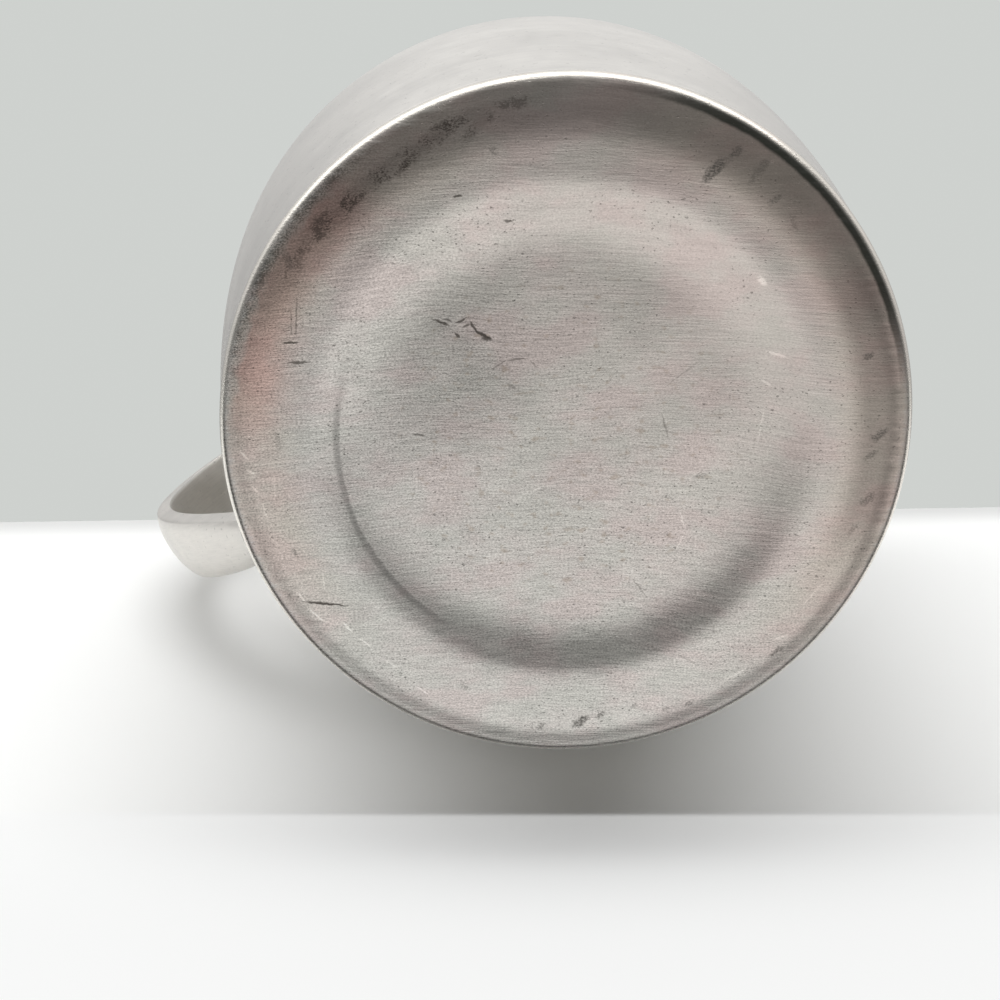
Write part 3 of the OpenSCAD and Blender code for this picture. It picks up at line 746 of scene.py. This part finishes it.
def upright_lines(f):
    return f.vector(f.x * 1.0, f.y * 5.5, f.z * 0.12)


def strap_lines(f):
    return f.vector(f.x * 0.5, f.y * 4.0, f.z * 0.25)


def solder_finish():
    f = Finish("dull solder", metallic=1.0)
    lumps = f.noise(f.place, 0.9, 3.0, 0.6)
    grain = f.noise(f.place, 5.0, 3.0, 0.6)
    tone = 0.8 + (lumps - 0.5) * 0.35 + (grain - 0.5) * 0.25
    f.show(base_color=f.blend(1.0, f.grey(tone), SOLDER_TINT, "MULTIPLY"),
           roughness=0.42 + (lumps - 0.5) * 0.25)
    f.relief((lumps - 0.5) * 0.12, (grain - 0.5) * 0.02)
    return f.material


solder = solder_finish()
finishes = {
    "body": pewter("spun body pewter", SPUN_TINT, 0.34, round_lines, 0.005),
    "base": base_finish(),
    "bead": pewter("bead pewter", SPUN_TINT, 0.32, round_lines, 0.004),
    "spout": pewter("spout pewter", SPUN_TINT, 0.34, upright_lines, 0.005),
    "handle": pewter("cast handle pewter", CAST_TINT, 0.42, strap_lines, 0.002),
    "pad_top": solder,
    "pad_low": solder,
    "seam": solder,
}
for key, piece in pieces.items():
    piece.data.materials.clear()
    piece.data.materials.append(finishes[key])
foot_solder = NODES["foot_solder"]
foot_solder.data.materials.clear()
foot_solder.data.materials.append(solder)


# Sill, wall and light

def lying(right, up, along):
    """A point by its millimetres to the right of, above and behind the middle of the base as it lies."""
    return (RIGHT * right + UP * up + Vector((0, 0, along))) * MM


def stage_sheet(name, rows):
    """Faces between rows of points given as in lying()."""
    data = bpy.data.meshes.new(name)
    mesh = bmesh.new()
    lines = [[mesh.verts.new(lying(*p)) for p in row] for row in rows]
    for low, high in zip(lines, lines[1:]):
        mesh.faces.new((low[0], low[1], high[1], high[0]))
    mesh.to_mesh(data)
    mesh.free()
    sheet = bpy.data.objects.new(name, data)
    bpy.context.scene.collection.objects.link(sheet)
    return sheet


def backed(name, colour, own=None, shade=None, solid=True, mirrored=0.0):
    """A matt face that the camera sees from its front only.

    own(n, place) is the share of the colour that it gives by itself, for the camera alone, and mirrored that
    share in reflections, where there is no own. shade(n, place) is what its colour is multiplied by. Where it
    isn't solid, all other rays pass through it.
    """
    material = bpy.data.materials.new(name)
    material.use_nodes = True
    n = Nodes(material.node_tree)
    n.tree.nodes.remove(n.tree.nodes["Principled BSDF"])
    place = n.scaled(n.node("TexCoord", out="Object"), 1 / MM)
    behind = n.node("NewGeometry", out="Backfacing")
    camera = n.node("LightPath", out="Is Camera Ray")
    clear = camera * behind if solid else 1 - camera * (1 - behind)
    if shade:
        colour = n.blend(1.0, n.grey(n.math("MINIMUM", shade(n, place), 1.0)), colour, "MULTIPLY")
    face = n.node("BsdfDiffuse", None, {"Color": colour})
    if own or mirrored:
        given = camera * own(n, place) if own else n.node("LightPath", out="Is Glossy Ray") * mirrored
        face = n.node("MixShader", None, {0: given, 1: face, 2: n.node("Emission", None, {"Color": colour})})
    mixed = n.node("MixShader", None, {0: clear, 1: face, 2: n.node("BsdfTransparent")})
    n.tree.links.new(mixed.socket, n.tree.nodes["Material Output"].inputs["Surface"])
    return material


# The pitcher lies on a sill that ends at EDGE_AT and meets the wall at WALL_Z, a little out of square
SILL = -BELLY_R
WIDE = 900
EDGE_AT = 9.6
WALL_Z, WALL_SLANT = 107.46, 0.05
BOARD_DROP, EDGE_DROP = 4, 0.3
SILL_WHITE, BOARD_WHITE, WALL_GREY = (0.93, 0.935, 0.925), (0.93, 0.935, 0.93), (0.62, 0.64, 0.62)
wall_at = [WALL_Z - WALL_SLANT * WIDE, WALL_Z + WALL_SLANT * WIDE]
sill = stage_sheet("sill", [
    [(-WIDE, SILL, EDGE_AT), (WIDE, SILL, EDGE_AT)],
    [(-WIDE, SILL, wall_at[0]), (WIDE, SILL, wall_at[1])],
])
front_board = stage_sheet("front_board", [
    [(-WIDE, SILL - BOARD_DROP, -WIDE), (WIDE, SILL - BOARD_DROP, -WIDE)],
    [(-WIDE, SILL - EDGE_DROP, -20), (WIDE, SILL - EDGE_DROP, -20)],
    [(-WIDE, SILL, EDGE_AT), (WIDE, SILL, EDGE_AT)],
])
wall = stage_sheet("wall", [
    [(-WIDE, SILL, wall_at[0]), (WIDE, SILL, wall_at[1])],
    [(-WIDE, SILL + 2 * WIDE, wall_at[0]), (WIDE, SILL + 2 * WIDE, wall_at[1])],
])


def dim_by_wall(n, place):
    """Painted shade: the sill gets darker in its last millimetres before the wall, in the corner."""
    to_wall = n.dot(place, tuple(RIGHT * WALL_SLANT - Vector((0, 0, 1)))) + WALL_Z
    return n.fade(to_wall, 0.0, 13.0, 0.72, 1.0)


def bright_front(n, place):
    """Painted light: the board keeps more of its own white the nearer it comes to the camera, away from the
    pitcher's shadow.
    """
    along = n.dot(place, (0, 0, 1))
    return n.fade(along, EDGE_AT, EDGE_AT - 1, 0.0, 0.42) + n.fade(along, EDGE_AT - 1, -9.0, 0.0, 0.46)


sill.data.materials.append(backed("white sill", SILL_WHITE, shade=dim_by_wall, mirrored=0.14))
front_board.data.materials.append(backed("white board", BOARD_WHITE, bright_front, solid=False))
wall.data.materials.append(backed("pale wall", WALL_GREY, lambda n, place: 1.0, solid=False))

# The room as the metal mirrors it in front of and behind the base, by height from 0 below to 1 above
NEAR_ROOM = [
    (0.0, 0.2), (0.03, 0.62), (0.06, 1.0), (0.15, 0.95), (0.27, 0.88), (0.38, 0.77), (0.47, 0.61), (0.55, 0.25),
    (0.59, 0.22), (0.66, 0.30), (0.78, 0.35), (0.86, 0.18), (0.91, 0.17), (0.975, 0.35), (1.0, 1.1),
]
FAR_ROOM = [(0.0, 0.3), (0.45, 0.46), (0.6, 0.63), (0.8, 1.0), (1.0, 1.2)]
UPPER_ROOM, BACKGROUND = (0.42, 0.42, 0.42), (0.86, 0.87, 0.87)

world = bpy.data.worlds.new("room light")
bpy.context.scene.world = world
world.use_nodes = True
w = Nodes(world.node_tree)
ray = w.node("TexCoord", out="Generated")
height = w.dot(ray, tuple(UP)) * 0.5 + 0.5
side_on, along = w.dot(ray, tuple(RIGHT)), w.dot(ray, (0, 0, 1))
near = w.node("ValToRGB", {"stops": NEAR_ROOM}, {"Fac": height})
near = w.blend(w.fade(along, -0.6, -0.35, 0.0, 0.8) * w.fade(height, 0.5, 0.58), near, UPPER_ROOM)
below = w.fade(along, -0.5, -0.3, 0.0, 0.9) * w.fade(height, 0.5, 0.4)
aside = w.fade(along, -0.75, -0.25, 1.0, 0.6) * (1 - below)
near = w.blend(1.0, near, w.fade(side_on, -0.45, 0.45, 0.94, 1.05) * aside, "MULTIPLY")
far = w.node("ValToRGB", {"stops": FAR_ROOM}, {"Fac": height})
sides = w.fade(side_on, -0.8, 0.8, 0.85, 0.82) * w.fade(w.math("ABSOLUTE", side_on), 0.6, 0.95, 1.0, 1.35)
far = w.blend(1.0, far, sides, "MULTIPLY")
room = w.blend(w.fade(along, -0.1, 0.2), near, far)

# What the sill and the board get: little of the room's sides and front, and a wide strip of light overhead
glossy = w.node("LightPath", out="Is Glossy Ray")
matt = 0.06 + w.fade(height, 0.8, 0.9) * w.fade(side_on, 0.1, -0.4, 1.1, 1.75)
matt = matt * w.fade(along, -0.3, 0.1, 0.1, 1.0)
room = w.blend(1.0, room, glossy + (1 - glossy) * matt, "MULTIPLY")
strip = w.fade(w.math("ABSOLUTE", along - 0.07), 0.36, 0.24)
strip = strip * w.fade(w.math("ABSOLUTE", side_on + 0.06), 0.84, 0.70)
strip = strip * w.fade(height, 0.6, 0.8) * (1 - glossy) * 1.75
room = w.blend(1.0, room, w.grey(strip), "ADD")
camera_ray = w.node("LightPath", out="Is Camera Ray")
shown = w.blend(camera_ray, room, BACKGROUND)
w.feed(w.tree.nodes["Background"].inputs["Color"], shown)
w.tree.nodes["Background"].inputs["Strength"].default_value = 1.0

LAMP_WIDTH, LAMP_DEPTH, LAMP_WATTS, LAMP_AT = 1.4, 0.35, 2.0, (-60, 560, 40)
lamp = bpy.data.objects.new("overhead_lamp", bpy.data.lights.new("overhead_lamp", "AREA"))
lamp.data.shape, lamp.data.energy = "RECTANGLE", LAMP_WATTS
lamp.data.size, lamp.data.size_y = LAMP_WIDTH, LAMP_DEPTH
lamp.location = lying(*LAMP_AT)
lamp.rotation_euler = (-lamp.location).to_track_quat("-Z", "Y").to_euler()
bpy.context.scene.collection.objects.link(lamp)

# Camera: its place in millimetres, and its way of looking, its way up and its way right
CAMERA_AT = Vector((4.341, -18.639, -76.130))
LOOK, LENS_UP = Vector((-0.1383, 0.2505, 0.9582)), Vector((0.4645, -0.8379, 0.2862))
LENS_RIGHT = Vector((0.8746, 0.4848, -0.0005))
camera = bpy.data.objects.new("camera", bpy.data.cameras.new("camera"))
bpy.context.scene.collection.objects.link(camera)
camera.data.sensor_width, camera.data.lens = 36, 36
camera.data.clip_start, camera.data.clip_end = 0.001, 20
axes = Matrix((LENS_RIGHT, LENS_UP, -LOOK)).transposed()
camera.matrix_world = Matrix.Translation(CAMERA_AT * MM) @ axes.to_4x4()
bpy.context.scene.camera = camera
bpy.context.scene.view_settings.view_transform = "Standard"
